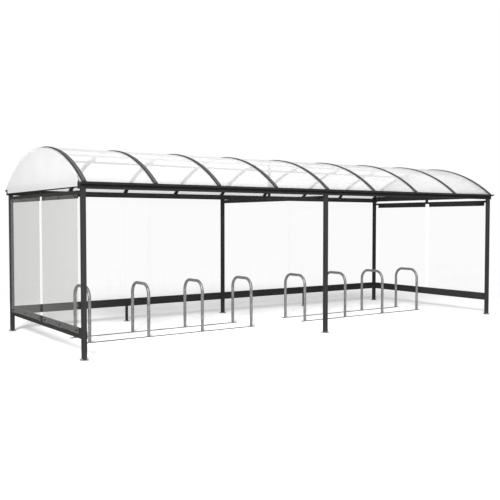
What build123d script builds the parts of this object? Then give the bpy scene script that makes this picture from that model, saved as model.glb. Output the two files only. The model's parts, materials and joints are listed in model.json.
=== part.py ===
from build123d import *
from math import asin, degrees, sqrt
import os

# Two-bay bicycle shelter with a barrel-vault roof, open along its front.
# Millimetres. X runs along the length, the open front faces -Y, Z is up.
# The origin is on the ground, at the middle of the shelter's plan.

# ---- driving dimensions ------------------------------------------------------

# plan, centre to centre of the posts
bays = 2
bay = 4000
depth = 3000

# posts: square tube standing on base plates
post = 60
post_wall = 4
post_corner = 6
base_plate = 100
base_thick = 8
base_pitch = 76
base_hole_r = 5.5

# longitudinal beams on top of the posts
beam_under = 2170
beam_w = 60
beam_h = 80
beam_wall = 3
beam_corner = 5
plug_t = 4

# cross ties at the ends, cross tie and king post in the middle
end_tie_w = 40
end_tie_h = 100
end_tie_rise = 20
mid_tie = 60
mid_tie_drop = 10
king = 40
tie_wall = 3

# barrel vault
roof_radius = 2471
rib_w = 60
rib_d = 8
rib_foot = 30
ribs_per_bay = 4
sheet_t = 10
sheet_joint = 3
sheet_over = 8
strip_w = 60
strip_t = 8
strip_over = 15
purlin = 25
purlin_wall = 2
purlin_drop = 35

# gutters: a folded V hung on the outer face of each beam
gutter_wall = 3
gutter_flange_h = 23
gutter_vee_out = 34
gutter_lip_out = 78
gutter_lip_rise = 6

# gable panels, standing off the end ribs and ties on small blocks
gable_t = 5
gable_rise = 10
gable_stand = 25
spacer = 26
rib_spacers = 7
tie_spacers = 5

# end walls: hung head rails, bottom rail and glazing on the outside
pane_gap_post = 70
pane_gap_mid = 100
head_rail_drop = 40
head_rail_h = 100
head_rail_w = 8
cleat_h = 40
cleat_t = 6
cleat_lap = 40
hanger = 40
bottom_under = 270
bottom_h = 130
bottom_w = 40
bottom_wall = 3
glass_t = 6
glass_lap_bottom = 70
glass_lap_head = 50

# back wall
back_panes_per_bay = 2
back_joint = 4
short_leg = 40
short_leg_wall = 3
short_plate = 80
short_plate_thick = 6
short_plate_pitch = 60
short_plate_hole_r = 4.5

# bicycle racks: hoops on two flat bars
rack_length = 3000
bar_w = 50
bar_t = 8
hoops = 4
hoop_pitch = 950
hoop_tube = 48.3
hoop_height = 828
hoop_width = 560
hoop_bend = 170

# clearances
seat = 0.3
butt = 2

# ---- positions that follow ---------------------------------------------------

half_depth = depth / 2
half_length = bays * bay / 2
post_xs = [i * bay - half_length for i in range(bays + 1)]
bay_xs = [x + bay / 2 for x in post_xs[:-1]]
beam_top = beam_under + beam_h
beam_mid = beam_under + beam_h / 2
beam_out = half_depth + beam_w / 2
beam_in = half_depth - beam_w / 2
end_tie_under = beam_under + end_tie_rise
end_tie_top = end_tie_under + end_tie_h
mid_tie_top = beam_under - mid_tie_drop
post_in = half_depth - post / 2
post_out = half_depth + post / 2
end_x = half_length + post / 2

# the vault's axis: the ribs' inner curve meets each beam's outer top corner
rib_in = roof_radius - rib_d
axis_z = beam_top - sqrt(rib_in**2 - beam_out**2)
rib_pitch = bay / ribs_per_bay
joint_xs = [i * rib_pitch - half_length for i in range(bays * ribs_per_bay + 1)]
end_rib_x = end_x - rib_w / 2
foot_in = beam_out - rib_foot
foot_top = axis_z + sqrt((roof_radius - rib_d / 2) ** 2 - foot_in**2)
rib_xs = [-end_rib_x] + joint_xs[1:-1] + [end_rib_x]
sheet_in = roof_radius + seat
sheet_out = sheet_in + sheet_t
sheet_low = degrees(asin((beam_out + sheet_over) / sheet_in))
strip_in = sheet_out + seat
strip_low = degrees(asin((beam_out + strip_over) / strip_in))
purlin_cleat_top = sqrt(rib_in**2 - (purlin / 2) ** 2) - seat
purlin_top = purlin_cleat_top - purlin_drop
purlin_angle = sheet_low / 3
king_top = axis_z + sqrt(rib_in**2 - (king / 2) ** 2) - seat
gable_under = end_tie_under + gable_rise
gable_edge = beam_in - butt
gable_in = end_x + gable_stand
roof_end = gable_in + gable_t
spacer_r = roof_radius - rib_d / 2
spacer_angle = degrees(asin((gable_edge - spacer) / spacer_r))

# the gutter's fold tucks in under the sheets, and its inner leaf falls at the roof's own slope
roof_slope = beam_out / (beam_top - axis_z)
gutter_fold_z = axis_z + sqrt(sheet_in**2 - (beam_out + gutter_wall) ** 2) - gutter_wall
gutter_vee_z = gutter_fold_z - (gutter_vee_out - gutter_wall / 2) * roof_slope

# the end walls' panes and rails run between the same two lines
pane_in = pane_gap_mid / 2
pane_out = post_in - pane_gap_post
pane_w = pane_out - pane_in
pane_y = (pane_in + pane_out) / 2
head_rail_top = end_tie_under - head_rail_drop
head_rail_mid = head_rail_top - head_rail_h / 2
cleat_mid = head_rail_top - cleat_h / 2
bottom_mid = bottom_under + bottom_h / 2
glass_under = bottom_under + bottom_h - glass_lap_bottom
end_glass_top = head_rail_top - head_rail_h + glass_lap_head
back_glass_top = gutter_fold_z - gutter_flange_h - butt

os.makedirs("parts", exist_ok=True)


def save(piece, name):
    """Label a finished piece and write it as parts/NAME.step."""
    piece.part.label = name
    export_step(piece.part, f"parts/{name}.step")


def square_tube(width, height, wall, corner):
    """Return the section of a rectangular tube with rounded corners."""
    with BuildSketch() as section:
        RectangleRounded(width, height, corner)
        bore_corner = max(corner - wall, wall / 4)
        RectangleRounded(width - 2 * wall, height - 2 * wall, bore_corner, mode=Mode.SUBTRACT)
    return section.sketch


def vault_band(inner, outer, half_angle):
    """Return a band round the vault's axis, between plus and minus an angle from the crown."""
    with BuildSketch() as section:
        with BuildLine():
            top = CenterArc((0, axis_z), outer, 90 - half_angle, 2 * half_angle)
            under = CenterArc((0, axis_z), inner, 90 - half_angle, 2 * half_angle)
            Line(top @ 0, under @ 0)
            Line(top @ 1, under @ 1)
        make_face()
    return section.sketch


def on_side(side, outer, width):
    """Return the middle of a member whose outer face is at outer on that side."""
    return side * (outer - width / 2)


SIDES = (("left", -1), ("right", 1))
ROWS = (("front", -1), ("back", 1))

# ---- posts and what they stand on --------------------------------------------

for row, back in ROWS:
    for number, x in enumerate(post_xs, 1):
        with BuildPart() as post_tube:
            with BuildSketch(Plane.XY.offset(base_thick)):
                with Locations((x, back * half_depth)):
                    add(square_tube(post, post, post_wall, post_corner))
            extrude(amount=beam_under - base_thick)
        save(post_tube, f"post_{row}_{number}")

short_leg_y = on_side(1, post_out, short_leg)
with BuildPart() as short_legs:
    with BuildSketch(Plane.XY.offset(short_plate_thick)):
        with Locations([(x, short_leg_y) for x in bay_xs]):
            add(square_tube(short_leg, short_leg, short_leg_wall, short_leg_wall * 1.5))
    extrude(amount=bottom_under - short_plate_thick)
save(short_legs, "short_legs")

with BuildPart() as base_plates:
    with BuildSketch():
        with Locations([(x, back * half_depth) for x in post_xs for _, back in ROWS]):
            Rectangle(base_plate, base_plate)
            with GridLocations(base_pitch, base_pitch, 2, 2):
                Circle(base_hole_r, mode=Mode.SUBTRACT)
    extrude(amount=base_thick)
    with BuildSketch():
        with Locations([(x, short_leg_y) for x in bay_xs]):
            Rectangle(short_plate, short_plate)
            with GridLocations(short_plate_pitch, short_plate_pitch, 2, 2):
                Circle(short_plate_hole_r, mode=Mode.SUBTRACT)
    extrude(amount=short_plate_thick)
save(base_plates, "base_plates")

# ---- beams -------------------------------------------------------------------

for row, back in ROWS:
    with BuildPart() as beam:
        with BuildSketch(Plane.YZ):
            with Locations((back * half_depth, beam_mid)):
                add(square_tube(beam_w, beam_h, beam_wall, beam_corner))
        extrude(amount=roof_end, both=True)
    save(beam, f"{row}_beam")

with BuildPart() as beam_plugs:
    for _, side in SIDES:
        with BuildSketch(Plane.YZ.offset(side * (roof_end - plug_t / 2))):
            with Locations((half_depth, beam_mid), (-half_depth, beam_mid)):
                plug_corner = max(beam_corner - beam_wall, beam_wall / 4)
                RectangleRounded(beam_w - 2 * beam_wall, beam_h - 2 * beam_wall, plug_corner)
        extrude(amount=plug_t / 2, both=True)
save(beam_plugs, "beam_plugs")

# ---- cross ties --------------------------------------------------------------

for name, side in SIDES:
    with BuildPart() as end_tie:
        with BuildSketch(Plane.XZ):
            with Locations((on_side(side, end_x, end_tie_w), end_tie_top - end_tie_h / 2)):
                add(square_tube(end_tie_w, end_tie_h, tie_wall, tie_wall * 1.5))
        extrude(amount=beam_in, both=True)
    save(end_tie, f"end_tie_{name}")

# the middle tie runs between the middle posts and carries the king post
with BuildPart() as mid_tie_frame:
    with BuildSketch(Plane.XZ):
        with Locations((0, mid_tie_top - mid_tie / 2)):
            add(square_tube(mid_tie, mid_tie, tie_wall, tie_wall * 1.5))
    extrude(amount=post_in, both=True)
    with BuildSketch(Plane.XY.offset(mid_tie_top)):
        add(square_tube(king, king, tie_wall, tie_wall * 1.5))
    extrude(amount=king_top - mid_tie_top)
save(mid_tie_frame, "mid_tie_and_king_post")

# ---- barrel vault ------------------------------------------------------------

# flat ribs run under the sheets' joints, each with a wedge foot on either beam
for number, x in enumerate(rib_xs, 1):
    with BuildPart() as rib:
        with BuildSketch(Plane.YZ.offset(x)):
            with Locations((0, axis_z)):
                Circle(roof_radius)
                Circle(rib_in, mode=Mode.SUBTRACT)
            with Locations((0, beam_top)):
                above_beams = (Align.CENTER, Align.MIN)
                Rectangle(2 * beam_out, roof_radius, align=above_beams, mode=Mode.INTERSECT)
            for _, back in ROWS:
                Polygon(
                    (back * beam_out, beam_top),
                    (back * foot_in, beam_top),
                    (back * foot_in, foot_top),
                    align=None,
                )
        extrude(amount=rib_w / 2, both=True)
    save(rib, f"arch_rib_{number}")

with BuildPart() as purlins:
    with BuildSketch(Plane.YZ):
        with Locations((0, axis_z)):
            purlin_r = purlin_top - purlin / 2
            with PolarLocations(purlin_r, 2, 90 - purlin_angle, 2 * purlin_angle, endpoint=True):
                add(square_tube(purlin, purlin, purlin_wall, purlin_wall * 1.5))
    extrude(amount=end_x, both=True)
save(purlins, "purlins")

# a cleat under each rib carries each purlin
with BuildPart() as purlin_cleats:
    for x in rib_xs:
        with BuildSketch(Plane.YZ.offset(x)):
            with Locations((0, axis_z)):
                cleat_r = purlin_cleat_top - purlin_drop / 2
                with PolarLocations(cleat_r, 2, 90 - purlin_angle, 2 * purlin_angle, endpoint=True):
                    Rectangle(purlin_drop, purlin)
        extrude(amount=rib_w / 2, both=True)
save(purlin_cleats, "purlin_cleats")

# sheets meet over the ribs, and the outermost ones reach out over the gable panels
for number in range(bays):
    first = number * ribs_per_bay
    edges = joint_xs[first : first + ribs_per_bay + 1]
    with BuildPart() as sheets:
        for left, right in zip(edges, edges[1:]):
            low = left + sheet_joint / 2
            high = right - sheet_joint / 2
            if left == joint_xs[0]:
                low = -roof_end
            if right == joint_xs[-1]:
                high = roof_end
            with BuildSketch(Plane.YZ.offset(low)):
                add(vault_band(sheet_in, sheet_out, sheet_low))
            extrude(amount=high - low)
    save(sheets, f"roof_sheets_bay_{number + 1}")

with BuildPart() as clamp_strips:
    for x in joint_xs:
        with BuildSketch(Plane.YZ.offset(x)):
            add(vault_band(strip_in, strip_in + strip_t, strip_low))
        extrude(amount=strip_w / 2, both=True)
save(clamp_strips, "clamp_strips")

# ---- gutters -----------------------------------------------------------------

for row, back in ROWS:
    with BuildPart() as gutter:
        flange_y = beam_out + gutter_wall / 2
        with BuildSketch(Plane.YZ):
            with BuildLine():
                Polyline(
                    (back * flange_y, gutter_fold_z - gutter_flange_h),
                    (back * flange_y, gutter_fold_z),
                    (back * (beam_out + gutter_vee_out), gutter_vee_z),
                    (back * (beam_out + gutter_lip_out), beam_top + gutter_lip_rise),
                )
            trace(line_width=gutter_wall)
        extrude(amount=roof_end, both=True)
    save(gutter, f"{row}_gutter")

# ---- gables ------------------------------------------------------------------

# each panel closes the vault's end between the beams, down to the tie
for name, side in SIDES:
    with BuildPart() as gable:
        with BuildSketch(Plane.YZ.offset(side * (gable_in + gable_t / 2))):
            with Locations((0, axis_z)):
                Circle(roof_radius - butt)
            with Locations((0, gable_under)):
                above_edge = (Align.CENTER, Align.MIN)
                Rectangle(2 * gable_edge, roof_radius, align=above_edge, mode=Mode.INTERSECT)
        extrude(amount=gable_t / 2, both=True)
    save(gable, f"gable_panel_{name}")

# blocks along each end rib and end tie carry the panels' inner faces
with BuildPart() as gable_spacers:
    for _, side in SIDES:
        with BuildSketch(Plane.YZ.offset(side * (end_x + gable_stand / 2))):
            with Locations((0, axis_z)):
                with PolarLocations(
                    spacer_r, rib_spacers, 90 - spacer_angle, 2 * spacer_angle, endpoint=True
                ):
                    Rectangle(rib_d, spacer)
            with Locations((0, gable_under + spacer / 2)):
                tie_pitch = 2 * (gable_edge - spacer) / (tie_spacers - 1)
                with GridLocations(tie_pitch, 0, tie_spacers, 1):
                    Rectangle(spacer, spacer)
        extrude(amount=gable_stand / 2, both=True)
save(gable_spacers, "gable_spacers")

# ---- end walls ---------------------------------------------------------------

for name, side in SIDES:
    rail_x = on_side(side, end_x, head_rail_w)
    with BuildPart() as head_rail:
        with Locations((rail_x, pane_y, head_rail_mid), (rail_x, -pane_y, head_rail_mid)):
            Box(head_rail_w, pane_w, head_rail_h)
    save(head_rail, f"head_rail_{name}")

    bottom_x = on_side(side, end_x, bottom_w)
    with BuildPart() as bottom_rail:
        with BuildSketch(Plane.XZ):
            with Locations((bottom_x, bottom_mid)):
                add(square_tube(bottom_w, bottom_h, bottom_wall, bottom_wall * 1.5))
        extrude(amount=post_in, both=True)
    save(bottom_rail, f"bottom_rail_{name}")

    glass_x = side * (end_x + glass_t / 2)
    glass_mid = (glass_under + end_glass_top) / 2
    with BuildPart() as end_glass:
        with Locations((glass_x, pane_y, glass_mid), (glass_x, -pane_y, glass_mid)):
            Box(glass_t, pane_w, end_glass_top - glass_under)
    save(end_glass, f"glazing_{name}")

# hangers drop from the end ties between the head rails, and cleats reach the rails' inner faces
with BuildPart() as hangers:
    for _, side in SIDES:
        hanger_x = on_side(side, end_x, hanger)
        cleat_x = on_side(side, end_x - head_rail_w, cleat_t)
        hanger_under = head_rail_top - cleat_h
        hanger_h = end_tie_under - hanger_under
        mid_reach = pane_in + cleat_lap
        post_reach = pane_gap_post + cleat_lap
        with Locations((hanger_x, 0, hanger_under + hanger_h / 2)):
            Box(hanger, hanger, hanger_h)
        with Locations((cleat_x, 0, cleat_mid)):
            Box(cleat_t, 2 * mid_reach, cleat_h)
        for _, back in ROWS:
            with Locations((cleat_x, back * (post_in - post_reach / 2), cleat_mid)):
                Box(cleat_t, post_reach, cleat_h)
save(hangers, "rail_hangers")

# ---- back wall ---------------------------------------------------------------

with BuildPart() as back_rails:
    for x in bay_xs:
        with BuildSketch(Plane.YZ.offset(x)):
            with Locations((on_side(1, post_out, bottom_w), bottom_mid)):
                add(square_tube(bottom_w, bottom_h, bottom_wall, bottom_wall * 1.5))
        extrude(amount=(bay - post) / 2, both=True)
save(back_rails, "bottom_rail_back")

back_panes = bays * back_panes_per_bay
back_pane_w = (2 * end_x - (back_panes - 1) * back_joint) / back_panes
with BuildPart() as back_glass:
    with BuildSketch(Plane.XY.offset(glass_under)):
        with Locations((0, post_out + glass_t / 2)):
            with GridLocations(back_pane_w + back_joint, 0, back_panes, 1):
                Rectangle(back_pane_w, glass_t)
    extrude(amount=back_glass_top - glass_under)
save(back_glass, "glazing_back")

# ---- bicycle racks -----------------------------------------------------------

hoop_top = hoop_height - hoop_tube / 2
leg_y = hoop_width / 2
for number, x in enumerate(bay_xs, 1):
    with BuildPart() as bars:
        with Locations((x, leg_y, bar_t / 2), (x, -leg_y, bar_t / 2)):
            Box(rack_length, bar_w, bar_t)
    save(bars, f"rack_bars_{number}")

    with BuildPart() as rack_hoops:
        for i in range(hoops):
            hoop_x = x + (i - (hoops - 1) / 2) * hoop_pitch
            with BuildLine(Plane.YZ.offset(hoop_x)):
                FilletPolyline(
                    (-leg_y, bar_t),
                    (-leg_y, hoop_top),
                    (leg_y, hoop_top),
                    (leg_y, bar_t),
                    radius=hoop_bend,
                )
            with BuildSketch(Plane.XY.offset(bar_t)):
                with Locations((hoop_x, -leg_y)):
                    Circle(hoop_tube / 2)
            sweep()
    save(rack_hoops, f"rack_hoops_{number}")
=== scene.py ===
import json
import math

import bmesh
import bpy
from mathutils import Matrix, Vector

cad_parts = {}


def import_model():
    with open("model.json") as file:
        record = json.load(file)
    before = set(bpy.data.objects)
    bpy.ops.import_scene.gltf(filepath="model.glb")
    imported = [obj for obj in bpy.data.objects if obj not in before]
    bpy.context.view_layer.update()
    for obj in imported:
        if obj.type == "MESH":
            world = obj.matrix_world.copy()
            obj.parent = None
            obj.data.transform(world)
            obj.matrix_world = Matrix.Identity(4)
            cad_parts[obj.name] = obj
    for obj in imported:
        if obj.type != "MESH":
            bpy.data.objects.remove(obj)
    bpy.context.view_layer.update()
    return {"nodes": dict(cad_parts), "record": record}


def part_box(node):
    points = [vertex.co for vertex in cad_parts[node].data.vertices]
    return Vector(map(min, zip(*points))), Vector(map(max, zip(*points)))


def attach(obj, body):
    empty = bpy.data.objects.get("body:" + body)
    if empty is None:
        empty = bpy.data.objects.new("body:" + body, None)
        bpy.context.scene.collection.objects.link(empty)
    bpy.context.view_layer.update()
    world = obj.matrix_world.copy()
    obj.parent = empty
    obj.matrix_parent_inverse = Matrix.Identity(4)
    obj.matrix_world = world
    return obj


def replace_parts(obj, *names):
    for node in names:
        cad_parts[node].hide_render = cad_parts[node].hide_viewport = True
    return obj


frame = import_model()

nodes = frame["nodes"]
record = frame["record"]


# ---- materials ---------------------------------------------------------------


class Nodes:
    """The node tree of a material or world, with short calls that add nodes and link them."""

    def __init__(self, owner, output):
        self.owner = owner
        self.owner.use_nodes = True
        self.tree = self.owner.node_tree
        self.tree.nodes.clear()
        self.output = self.add(output)

    def add(self, kind, inputs=(), **settings):
        """A node whose inputs are linked where they are sockets, and set where they are values."""
        node = self.tree.nodes.new(kind)
        for key, value in settings.items():
            setattr(node, key, value)
        for key, value in dict(inputs).items():
            if isinstance(value, bpy.types.NodeSocket):
                self.tree.links.new(value, node.inputs[key])
            else:
                node.inputs[key].default_value = value
        return node

    def ramp(self, value, low, high, start, end):
        """A smooth step from start to end as value goes from low to high."""
        inputs = {"Value": value, "From Min": low, "From Max": high, "To Min": start, "To Max": end}
        return self.add("ShaderNodeMapRange", inputs, interpolation_type="SMOOTHSTEP").outputs[0]

    def colours(self, value, *stops):
        """A colour ramp whose stops are (position, (r, g, b))."""
        node = self.add("ShaderNodeValToRGB", {"Fac": value})
        band = node.color_ramp.elements
        while len(band) < len(stops):
            band.new(0.5)
        for element, (position, colour) in zip(band, stops):
            element.position = position
            element.color = (*colour, 1)
        return node.outputs[0]

    def mix(self, fac, first, second):
        """One colour turning into another as fac goes from 0 to 1."""
        node = self.add("ShaderNodeMix", data_type="RGBA", blend_type="MIX")
        for socket, value in ((node.inputs[0], fac), (node.inputs[6], first), (node.inputs[7], second)):
            if isinstance(value, bpy.types.NodeSocket):
                self.tree.links.new(value, socket)
            elif isinstance(value, tuple):
                socket.default_value = (*value, 1)
            else:
                socket.default_value = value
        return node.outputs[2]

    def math(self, operation, *values):
        """The result of one Math node."""
        return self.add("ShaderNodeMath", dict(enumerate(values)), operation=operation).outputs[0]

    def watched(self):
        """1 for rays from the camera, from gloss and through glass, and 0 for the light they gather."""
        path = self.add("ShaderNodeLightPath").outputs
        gloss = self.math("MAXIMUM", path["Is Glossy Ray"], path["Is Transmission Ray"])
        return self.math("MAXIMUM", path["Is Camera Ray"], gloss)

    def finish(self, surface):
        """Link the surface and hand over the material or world."""
        self.tree.links.new(surface, self.output.inputs["Surface"])
        return self.owner


def grey(level):
    """A neutral colour."""
    return (level, level, level)


class Shader(Nodes):
    """A material whose patterns follow the object's own coordinates."""

    def __init__(self, name):
        super().__init__(bpy.data.materials.new(name), "ShaderNodeOutputMaterial")
        self.place = self.add("ShaderNodeTexCoord").outputs["Object"]

    def noise(self, scale, detail=3.0, stretch=(1, 1, 1)):
        """Noise that is finer along an axis with a larger stretch."""
        spread = self.add("ShaderNodeMapping", {"Vector": self.place, "Scale": stretch})
        inputs = {"Vector": spread.outputs[0], "Scale": scale, "Detail": detail, "Roughness": 0.5}
        return self.add("ShaderNodeTexNoise", inputs).outputs["Fac"]

    def bump(self, height, distance):
        """A normal for relief of this depth in metres."""
        inputs = {"Height": height, "Distance": distance, "Strength": 1.0}
        return self.add("ShaderNodeBump", inputs).outputs[0]

    def part(self, axis):
        """One of the object's own coordinates."""
        return self.add("ShaderNodeSeparateXYZ", {"Vector": self.place}).outputs[axis]

    def greys(self, value, low, high):
        """A grey that goes from low to high over the middle range of value."""
        return self.colours(value, (0.3, grey(low)), (0.7, grey(high)))


SPLASH_HEIGHT = 0.16
DUST = (0.11, 0.105, 0.1)
BLOOM = (0.42, 0.43, 0.43)


def powder_coat(name, dark, light, specular):
    """Dark powder coat: a fine orange peel, faint cloudiness and dust towards the foot."""
    s = Shader(name)
    cloud = s.noise(2.2, 4.0, (1, 1, 0.5))
    tone = s.greys(cloud, dark, light)
    near_ground = s.ramp(s.part("Z"), 0.0, SPLASH_HEIGHT, 1.0, 0.0)
    splash = s.math("MULTIPLY", near_ground, s.ramp(s.noise(38), 0.35, 0.7, 0.0, 0.35))
    shader = s.add(
        "ShaderNodeBsdfPrincipled",
        {
            "Base Color": s.mix(splash, tone, DUST),
            "Roughness": s.ramp(s.noise(9.0, 5.0), 0.3, 0.7, 0.6, 0.74),
            "Specular IOR Level": specular,
            "Normal": s.bump(s.noise(1400, 1.0), 0.00006),
        },
    )
    return s.finish(shader.outputs[0])


def galvanised(name, low, high, metal=0.75, rough=(0.38, 0.58), specular=0.5):
    """Hot-dip galvanised steel with its crystal spangle and a little white bloom."""
    s = Shader(name)
    spangle = s.add("ShaderNodeTexVoronoi", {"Vector": s.place, "Scale": 85.0}, feature="F1")
    fleck = s.add("ShaderNodeSeparateColor", {"Color": spangle.outputs["Color"]}).outputs[0]
    tone = s.colours(fleck, (0.0, low), (1.0, high))
    bloom = s.ramp(s.noise(14, 6.0), 0.45, 0.75, 0.0, 0.3)
    shader = s.add(
        "ShaderNodeBsdfPrincipled",
        {
            "Base Color": s.mix(bloom, tone, BLOOM),
            "Metallic": metal,
            "Specular IOR Level": specular,
            "Roughness": s.ramp(fleck, 0.0, 1.0, *rough),
            "Normal": s.bump(s.noise(160, 3.0), 0.0006),
        },
    )
    return s.finish(shader.outputs[0])


def plastic(name, colour, rough=0.55, specular=0.15):
    """Moulded plastic or rubber with a fine grain."""
    s = Shader(name)
    grain = s.noise(900, 2.0)
    lighter = tuple(min(1, 1.3 * channel) for channel in colour)
    tone = s.colours(grain, (0.3, colour), (0.7, lighter))
    shader = s.add(
        "ShaderNodeBsdfPrincipled",
        {
            "Base Color": tone,
            "Roughness": s.ramp(s.noise(60), 0.3, 0.7, rough, rough + 0.1),
            "Specular IOR Level": specular,
            "Normal": s.bump(grain, 0.0002),
        },
    )
    return s.finish(shader.outputs[0])


def roof_plastic(name, body, clear, rough):
    """Twin-wall sheet: fine flutes down the slope, part clear, part milky, less clear at grazing angles."""
    s = Shader(name)
    haze = s.noise(1.1, 3.0)
    flutes = s.add("ShaderNodeTexWave", {"Vector": s.place, "Scale": 31.4}, bands_direction="X")
    slant = s.add("ShaderNodeLayerWeight", {"Blend": 0.5}).outputs["Facing"]
    tone = s.greys(haze, body, 1.02 * body)
    skin = s.add(
        "ShaderNodeBsdfPrincipled",
        {
            "Base Color": tone,
            "Roughness": s.ramp(haze, 0.3, 0.7, rough, rough + 0.05),
            "Specular IOR Level": 0.25,
            "Normal": s.bump(flutes.outputs["Fac"], 0.0002),
        },
    )
    glow = s.add("ShaderNodeBsdfTranslucent", {"Color": tone})
    scatter = s.add("ShaderNodeMixShader", {0: 0.5, 1: skin.outputs[0], 2: glow.outputs[0]})
    absorbed = s.ramp(slant, 0.8, 0.97, 0.0, 0.9)
    passed = s.mix(absorbed, s.greys(haze, 0.97, 0.98), grey(0.2))
    see = s.add("ShaderNodeBsdfTransparent", {"Color": passed})
    share = s.ramp(slant, 0.6, 1.0, 1 - clear, 1 - 0.4 * clear)
    through = s.add("ShaderNodeMixShader", {0: share, 1: see.outputs[0], 2: scatter.outputs[0]})
    return s.finish(through.outputs[0])


def gable_plastic(name, body, clear, rough):
    """Flat milky sheet, nearly opaque."""
    s = Shader(name)
    haze = s.noise(2.0, 4.0)
    tone = s.greys(haze, body, 1.02 * body)
    skin = s.add(
        "ShaderNodeBsdfPrincipled",
        {
            "Base Color": tone,
            "Roughness": s.ramp(haze, 0.3, 0.7, rough, rough + 0.05),
            "Specular IOR Level": 0.2,
            "Normal": s.bump(s.noise(300, 2.0), 0.0001),
        },
    )
    glow = s.add("ShaderNodeBsdfTranslucent", {"Color": tone})
    scatter = s.add("ShaderNodeMixShader", {0: 0.35, 1: skin.outputs[0], 2: glow.outputs[0]})
    see = s.add("ShaderNodeBsdfTransparent")
    share = s.ramp(haze, 0.3, 0.7, 1 - clear - 0.01, 1 - clear + 0.01)
    through = s.add("ShaderNodeMixShader", {0: share, 1: see.outputs[0], 2: scatter.outputs[0]})
    return s.finish(through.outputs[0])


def window(name, tint):
    """Clear wall pane: a see-through body that darkens and reflects more towards grazing angles."""
    s = Shader(name)
    slant = s.add("ShaderNodeLayerWeight", {"Blend": 0.5}).outputs["Facing"]
    wave = s.ramp(s.noise(0.9, 2.0), 0.3, 0.7, -0.004, 0.004)
    head_on = tuple(min(1.0, 1.004 * channel) for channel in tint)
    grazing = (0.915 * tint[0], 0.915 * tint[1], 0.908 * tint[2])
    passed = s.colours(s.math("ADD", slant, wave), (0.3, head_on), (0.7, grazing))
    clear = s.add("ShaderNodeBsdfTransparent", {"Color": passed})
    gloss = s.add("ShaderNodeBsdfGlossy", {"Color": (0.42, 0.42, 0.416, 1), "Roughness": 0.02})
    mirrored = s.math("ADD", s.math("POWER", slant, 5.0), 0.02)
    through = s.add("ShaderNodeMixShader", {0: mirrored, 1: clear.outputs[0], 2: gloss.outputs[0]})
    return s.finish(through.outputs[0])


PAINT = powder_coat("painted_steel", 0.035, 0.039, 0.015)
GUTTER = powder_coat("gutter_paint", 0.052, 0.058, 0.05)
STRIP = powder_coat("clamp_strip", 0.042, 0.046, 0.04)
CAP = powder_coat("clamp_cap", 0.08, 0.09, 0.2)
ZINC = galvanised("galvanised_steel", (0.34, 0.345, 0.35), (0.46, 0.465, 0.47), 0.6)
HOOP = galvanised("hoop_steel", (0.135, 0.135, 0.137), (0.225, 0.225, 0.23))
BAR = galvanised("bar_steel", (0.13, 0.13, 0.132), (0.19, 0.19, 0.192), 0.1, (0.7, 0.8), 0.1)
PLUG = plastic("black_plastic", (0.008, 0.008, 0.008))
WHITE = plastic("white_plastic", (0.72, 0.72, 0.72), 0.35, 0.4)
ROOF = roof_plastic("roof_sheet", 0.94, 0.64, 0.3)
GABLE = gable_plastic("gable_sheet", 0.92, 0.04, 0.5)
GLASS = window("wall_glass", (0.988, 0.99, 0.988))

FINISHES = {
    "base_plates": ZINC,
    "beam_plugs": PLUG,
    "gable_spacers": PLUG,
    "roof_sheets": ROOF,
    "clamp_strips": STRIP,
    "front_gutter": GUTTER,
    "back_gutter": GUTTER,
    "gable_panel": GABLE,
    "glazing": GLASS,
    "rack_bars": BAR,
    "rack_hoops": HOOP,
}
# every node that no start of a name here covers is painted steel
for name, node in nodes.items():
    chosen = [finish for start, finish in FINISHES.items() if name.startswith(start)]
    node.data.materials.clear()
    node.data.materials.append(chosen[0] if chosen else PAINT)


# ---- mesh tools --------------------------------------------------------------


def piece(name, shape, material):
    """Turn a finished bmesh into a piece of the shelter, welded, with its faces outward."""
    bmesh.ops.remove_doubles(shape, verts=shape.verts, dist=1e-6)
    bmesh.ops.recalc_face_normals(shape, faces=shape.faces)
    mesh = bpy.data.meshes.new(name)
    shape.to_mesh(mesh)
    shape.free()
    mesh.materials.append(material)
    item = bpy.data.objects.new(name, mesh)
    bpy.context.scene.collection.objects.link(item)
    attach(item, "root")
    return item


def skin_rings(shape, rings, closed=False):
    """Join rings of points into a closed surface, or into a loop when closed."""
    made = [[shape.verts.new(point) for point in ring] for ring in rings]
    pairs = list(zip(made, made[1:]))
    if closed:
        pairs.append((made[-1], made[0]))
    for first, second in pairs:
        for i in range(len(first)):
            k = (i + 1) % len(first)
            shape.faces.new((first[i], first[k], second[k], second[i]))
    if not closed:
        shape.faces.new(made[0])
        shape.faces.new(list(reversed(made[-1])))


def turned(shape, place, profile, sides):
    """A solid turned about the local Z of place from (radius, height) steps."""
    rings = []
    for radius, height in profile:
        angles = [2 * math.pi * i / sides for i in range(sides)]
        rings.append([place @ Vector((radius * math.cos(a), radius * math.sin(a), height)) for a in angles])
    skin_rings(shape, rings)


def facing(point, direction):
    """A frame at point whose Z looks along direction."""
    return Matrix.Translation(point) @ Vector(direction).to_track_quat("Z", "Y").to_matrix().to_4x4()


def plate(shape, low, high, bevel=0.001):
    """A block between two corners with bevelled edges."""
    made = bmesh.ops.create_cube(shape, size=1)["verts"]
    middle = (Vector(low) + Vector(high)) / 2
    bmesh.ops.scale(shape, vec=Vector(high) - Vector(low), verts=made)
    bmesh.ops.translate(shape, vec=middle, verts=made)
    edges = list({edge for vert in made for edge in vert.link_edges})
    bmesh.ops.bevel(shape, geom=edges, offset=bevel, segments=2, affect="EDGES", profile=0.5)


# ---- the vault's circle, read from the clamp strips --------------------------

strip_points = [vert.co for vert in nodes["clamp_strips"].data.vertices]
crown = max(point.z for point in strip_points)
strip_end = max(strip_points, key=lambda point: point.y)
rise = crown - strip_end.z
STRIP_R = (rise**2 + strip_end.y**2) / (2 * rise)
AXIS_Z = crown - STRIP_R
STRIP_LOW = math.asin(strip_end.y / STRIP_R)
STRIP_W = 0.06


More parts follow.
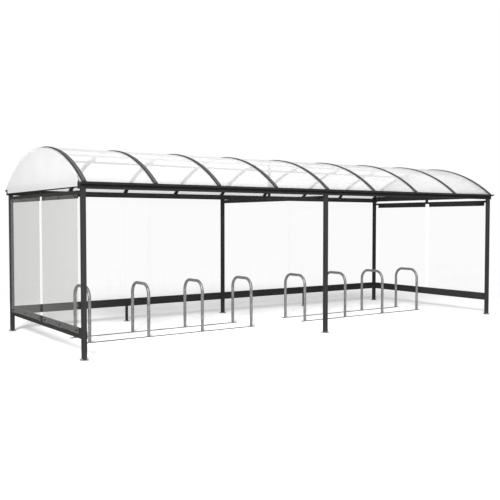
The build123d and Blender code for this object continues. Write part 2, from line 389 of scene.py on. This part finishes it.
def on_vault(x, radius, angle):
    """A frame on the vault whose Z looks outward, at an angle from the crown towards the back."""
    place = Vector((x, radius * math.sin(angle), AXIS_Z + radius * math.cos(angle)))
    return Matrix.Translation(place) @ Matrix.Rotation(-angle, 4, "X")


def along_vault(shape, x, radius, low, outline, steps=56):
    """Sweep an (across, outward) outline over the vault from eave to eave."""
    rings = []
    for i in range(steps + 1):
        place = on_vault(x, radius, low * (2 * i / steps - 1))
        rings.append([place @ Vector((across, 0, out)) for across, out in outline])
    skin_rings(shape, rings)


def centre(name):
    """The middle of a node's box."""
    low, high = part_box(name)
    return (low + high) / 2


POSTS = [centre(f"post_{row}_{number}") for row in ("front", "back") for number in (1, 2, 3)]
FIRST_X = POSTS[0].x
LAST_X = POSTS[2].x
SHEETS = 8
JOINTS = [FIRST_X + (LAST_X - FIRST_X) * i / SHEETS for i in range(SHEETS + 1)]
SIDES = (("left", -1), ("right", 1))

# ---- roof: caps, rubber seals and screws on the clamp strips -----------------

caps = bmesh.new()
seals = bmesh.new()
screws = bmesh.new()
HALF_CAP = ((0.015, -0.001), (0.015, 0.002), (0.011, 0.0045))
CAP_OUTLINE = tuple((-across, out) for across, out in HALF_CAP) + HALF_CAP[::-1]
CAP_SCREW = ((0.006, 0.004), (0.006, 0.0055), (0.0045, 0.0072), (0.0015, 0.0078))
for x in JOINTS:
    along_vault(caps, x, STRIP_R, STRIP_LOW - 0.002, CAP_OUTLINE)
    for side in (-1, 1):
        edge = side * STRIP_W / 2
        lip = ((edge, -0.0075), (edge, -0.002), (edge + side * 0.003, -0.004), (edge + side * 0.004, -0.0075))
        along_vault(seals, x, STRIP_R, STRIP_LOW - 0.004, lip)
    for i in range(-6, 7):
        place = on_vault(x, STRIP_R, STRIP_LOW * i / 6.4)
        turned(screws, place, CAP_SCREW, 12)
piece("clamp_caps", caps, CAP)
piece("clamp_seals", seals, PLUG)
piece("clamp_screws", screws, CAP)

# ---- gables: screws along the curve and along the foot -----------------------

gable_screws = bmesh.new()
GABLE_SCREW = ((0.009, 0.0), (0.009, 0.001), (0.006, 0.003), (0.002, 0.0035))
FROM_STRIP_TOP = 0.024
FROM_SIDE = 0.026
FROM_FOOT = 0.015
for name, side in SIDES:
    low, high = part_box(f"gable_panel_{name}")
    outer = low.x if side < 0 else high.x
    widest = 0.985 * math.asin(min(high.y, -low.y) / STRIP_R)
    for i in range(7):
        place = on_vault(outer, STRIP_R - FROM_STRIP_TOP, widest * (i / 3 - 1)).to_translation()
        turned(gable_screws, facing(place, (side, 0, 0)), GABLE_SCREW, 16)
    for i in range(5):
        place = Vector((outer, (high.y - FROM_SIDE) * (i / 2 - 1), low.z + FROM_FOOT))
        turned(gable_screws, facing(place, (side, 0, 0)), GABLE_SCREW, 16)
piece("gable_screws", gable_screws, WHITE)

# ---- feet: anchor bolts and weld beads ---------------------------------------

bolts = bmesh.new()
beads = bmesh.new()
NUT = ((0.0082, 0.0), (0.0092, 0.001), (0.0092, 0.0072), (0.0079, 0.0084))
WASHER = ((0.0115, 0.0), (0.0118, 0.0006), (0.0118, 0.0018), (0.0112, 0.0022))
STUD = ((0.005, 0.0), (0.005, 0.0145), (0.0042, 0.0158))


def anchor(point):
    """A washer, a nut turned to no particular angle, and the stud's end."""
    turned(bolts, Matrix.Translation(point), WASHER, 24)
    nut_seat = Matrix.Translation(point + Vector((0, 0, WASHER[-1][1])))
    turned(bolts, nut_seat @ Matrix.Rotation(point.x + point.y, 4, "Z"), NUT, 6)
    turned(bolts, Matrix.Translation(point), STUD, 14)


def bead_ring(base, out, reach, width):
    """One cross-section of a fillet bead whose inner edge stands reach from base."""
    return [
        base + out * (reach - 0.001),
        base + out * (reach + width),
        base + out * (reach + 0.5 * width) + Vector((0, 0, 0.5 * width)),
        base + out * (reach - 0.001) + Vector((0, 0, width)),
    ]


def weld(middle, half, corner, z, size):
    """A rippled fillet bead round the foot of a square tube."""
    rings = []
    count = 96
    for i in range(count):
        angle = 2 * math.pi * i / count
        reach = 1 / max(abs(math.cos(angle)), abs(math.sin(angle)))
        reach = min(reach, 1 + (half - corner) / half * 0.36)
        ripple = size * (1 + 0.12 * math.sin(44 * angle))
        out = Vector((math.cos(angle), math.sin(angle), 0))
        rings.append(bead_ring(Vector((middle.x, middle.y, z)), out, half * reach, ripple))
    skin_rings(beads, rings, closed=True)


def foot(middle, half, corner, plate_top, half_pitch, size):
    """Four anchors and a weld on the base plate of a square tube."""
    for dx in (-half_pitch, half_pitch):
        for dy in (-half_pitch, half_pitch):
            anchor(Vector((middle.x + dx, middle.y + dy, plate_top)))
    weld(middle, half, corner, plate_top, size)


HALF_POST = 0.03
HALF_LEG = 0.02
half_pitch = record["mounts"][0]["dims"]["spacing_x_mm"] / 2000
for post in POSTS:
    foot(post, HALF_POST, 0.006, 0.008, half_pitch, 0.0045)
leg_low, leg_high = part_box("short_legs")
for x in (leg_low.x + HALF_LEG, leg_high.x - HALF_LEG):
    foot(Vector((x, (leg_low.y + leg_high.y) / 2, 0)), HALF_LEG, 0.0045, 0.006, 0.03, 0.0035)
piece("anchor_bolts", bolts, ZINC)
piece("foot_welds", beads, PAINT)

# ---- walls: panes with ground edges, a tape's thickness off the steel --------

TAPE = 0.0006


def spans(name, axis):
    """Where a node's panes start and end along an axis."""
    marks = sorted({round(vert.co[axis], 4) for vert in nodes[name].data.vertices})
    return list(zip(marks[::2], marks[1::2]))


for name, side in SIDES:
    low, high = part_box(f"glazing_{name}")
    xs = (low.x, high.x - TAPE) if side < 0 else (low.x + TAPE, high.x)
    glass = bmesh.new()
    for start, end in spans(f"glazing_{name}", 1):
        plate(glass, (xs[0], start, low.z), (xs[1], end, high.z))
    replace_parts(piece(f"end_panes_{name}", glass, GLASS), f"glazing_{name}")
low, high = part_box("glazing_back")
glass = bmesh.new()
for start, end in spans("glazing_back", 0):
    plate(glass, (start, low.y + TAPE, low.z), (end, high.y, high.z))
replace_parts(piece("back_panes", glass, GLASS), "glazing_back")

# ---- walls: round fixings through the panes, and brackets on the corner posts -

fixings = bmesh.new()
BUTTON = ((0.014, 0.0), (0.014, 0.0012), (0.011, 0.0038), (0.006, 0.0052), (0.0015, 0.0056))
FROM_PANE_END = 0.08
for name, side in SIDES:
    low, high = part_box(f"glazing_{name}")
    outer = low.x if side < 0 else high.x
    _, rail_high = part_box(f"bottom_rail_{name}")
    for z in ((low.z + rail_high.z) / 2, high.z - 0.025):
        for end in (-1, 1):
            for along in (0.13, high.y / 2 + 0.03, high.y - FROM_PANE_END):
                turned(fixings, facing((outer, end * along, z), (side, 0, 0)), BUTTON, 20)
low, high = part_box("glazing_back")
_, rail_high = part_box("bottom_rail_back")
BACK_PANES = 4
pane = (high.x - low.x) / BACK_PANES
for z in ((low.z + rail_high.z) / 2, high.z - 0.02):
    for i in range(BACK_PANES):
        for along in (FROM_PANE_END, pane / 2, pane - FROM_PANE_END):
            turned(fixings, facing((low.x + i * pane + along, high.y, z), (0, 1, 0)), BUTTON, 20)
piece("pane_fixings", fixings, PLUG)

brackets = bmesh.new()
HALF_BRACKET = 0.018
BRACKET_T = 0.01
BRACKET_H = 0.085
for name, side in SIDES:
    rail_low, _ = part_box(f"bottom_rail_{name}")
    for post in POSTS:
        if post.x * side > 1:
            face = post.x - side * HALF_POST
            xs = sorted((face, face - side * BRACKET_T))
            low = (xs[0], post.y - HALF_BRACKET, rail_low.z)
            plate(brackets, low, (xs[1], post.y + HALF_BRACKET, rail_low.z + BRACKET_H))
piece("rail_brackets", brackets, PAINT)

# ---- racks: weld beads round the hoops' feet ---------------------------------

collars = bmesh.new()
HOOPS = 4
tube = 0.0483 / 2
SEGMENTS = 48
for number in (1, 2):
    low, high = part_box(f"rack_hoops_{number}")
    for i in range(HOOPS):
        x = low.x + tube + (high.x - low.x - 2 * tube) * i / (HOOPS - 1)
        for y in (low.y + tube, high.y - tube):
            rings = []
            for k in range(SEGMENTS):
                angle = 2 * math.pi * k / SEGMENTS
                out = Vector((math.cos(angle), math.sin(angle), 0))
                bead = 0.005 * (1 + 0.12 * math.sin(12 * angle))
                rings.append(bead_ring(Vector((x, y, low.z)), out, tube, bead))
            skin_rings(collars, rings, closed=True)
piece("hoop_welds", collars, HOOP)


# ---- floor, light and camera -------------------------------------------------

WHITE_LIGHT = (1, 1, 1, 1)
FADE_FROM = 4.6
FADE_TO = 9.0


def floor():
    """A wide pale disc that keeps the shadow and fades into the white background."""
    mesh = bpy.data.meshes.new("floor")
    shape = bmesh.new()
    bmesh.ops.create_circle(shape, cap_ends=True, radius=80, segments=96)
    shape.to_mesh(mesh)
    shape.free()
    disc = bpy.data.objects.new("floor", mesh)
    disc.location.z = -0.001
    bpy.context.scene.collection.objects.link(disc)
    s = Shader("floor_paper")
    grain = s.noise(3.0)
    bounce = s.add("ShaderNodeBsdfDiffuse", {"Color": s.greys(grain, 0.45, 0.47)})
    paper = s.add("ShaderNodeBsdfDiffuse", {"Color": s.greys(grain, 0.94, 0.96)})
    glow = s.add("ShaderNodeEmission", {"Color": WHITE_LIGHT, "Strength": 0.28})
    near = s.add("ShaderNodeAddShader", {0: paper.outputs[0], 1: glow.outputs[0]})
    far = s.add("ShaderNodeEmission", {"Color": WHITE_LIGHT})
    reach = s.add("ShaderNodeVectorMath", {0: s.place}, operation="LENGTH").outputs["Value"]
    fade = s.ramp(reach, FADE_FROM, FADE_TO, 0.0, 1.0)
    shown = s.add("ShaderNodeMixShader", {0: fade, 1: near.outputs[0], 2: far.outputs[0]})
    both = s.add("ShaderNodeMixShader", {0: s.watched(), 1: bounce.outputs[0], 2: shown.outputs[0]})
    disc.data.materials.append(s.finish(both.outputs[0]))


def world():
    """Even grey light, seen as white by the camera, by gloss and through glass."""
    s = Nodes(bpy.data.worlds.new("studio"), "ShaderNodeOutputWorld")
    soft = s.add("ShaderNodeBackground", {"Color": WHITE_LIGHT, "Strength": 0.15})
    white = s.add("ShaderNodeBackground", {"Color": WHITE_LIGHT})
    both = s.add("ShaderNodeMixShader", {0: s.watched(), 1: soft.outputs[0], 2: white.outputs[0]})
    bpy.context.scene.world = s.finish(both.outputs[0])


def lamp(name, place, target, size, power):
    """A round area lamp that looks at target."""
    data = bpy.data.lights.new(name, "AREA")
    data.shape = "DISK"
    data.size = size
    data.energy = power
    light = bpy.data.objects.new(name, data)
    light.location = place
    light.rotation_euler = (Vector(target) - Vector(place)).to_track_quat("-Z", "Y").to_euler()
    bpy.context.scene.collection.objects.link(light)


def camera():
    """The photograph's viewpoint, with no shift."""
    data = bpy.data.cameras.new("camera")
    data.sensor_width = 36
    data.lens = 52.39
    eye = bpy.data.objects.new("camera", data)
    eye.location = (-7.498, -10.210, 1.767)
    yaw, pitch = math.radians(34.79), math.radians(2.298)
    eye.rotation_euler = (math.pi / 2 - pitch, 0, -yaw)
    bpy.context.scene.collection.objects.link(eye)
    bpy.context.scene.camera = eye


floor()
world()
lamp("key", (-18.5, -19.5, 15.4), (0, 0, 0.5), 7, 9900)
lamp("front", (-2, -14, 20), (0, 0, 1), 14, 2600)
camera()
bpy.context.scene.view_settings.view_transform = "Standard"
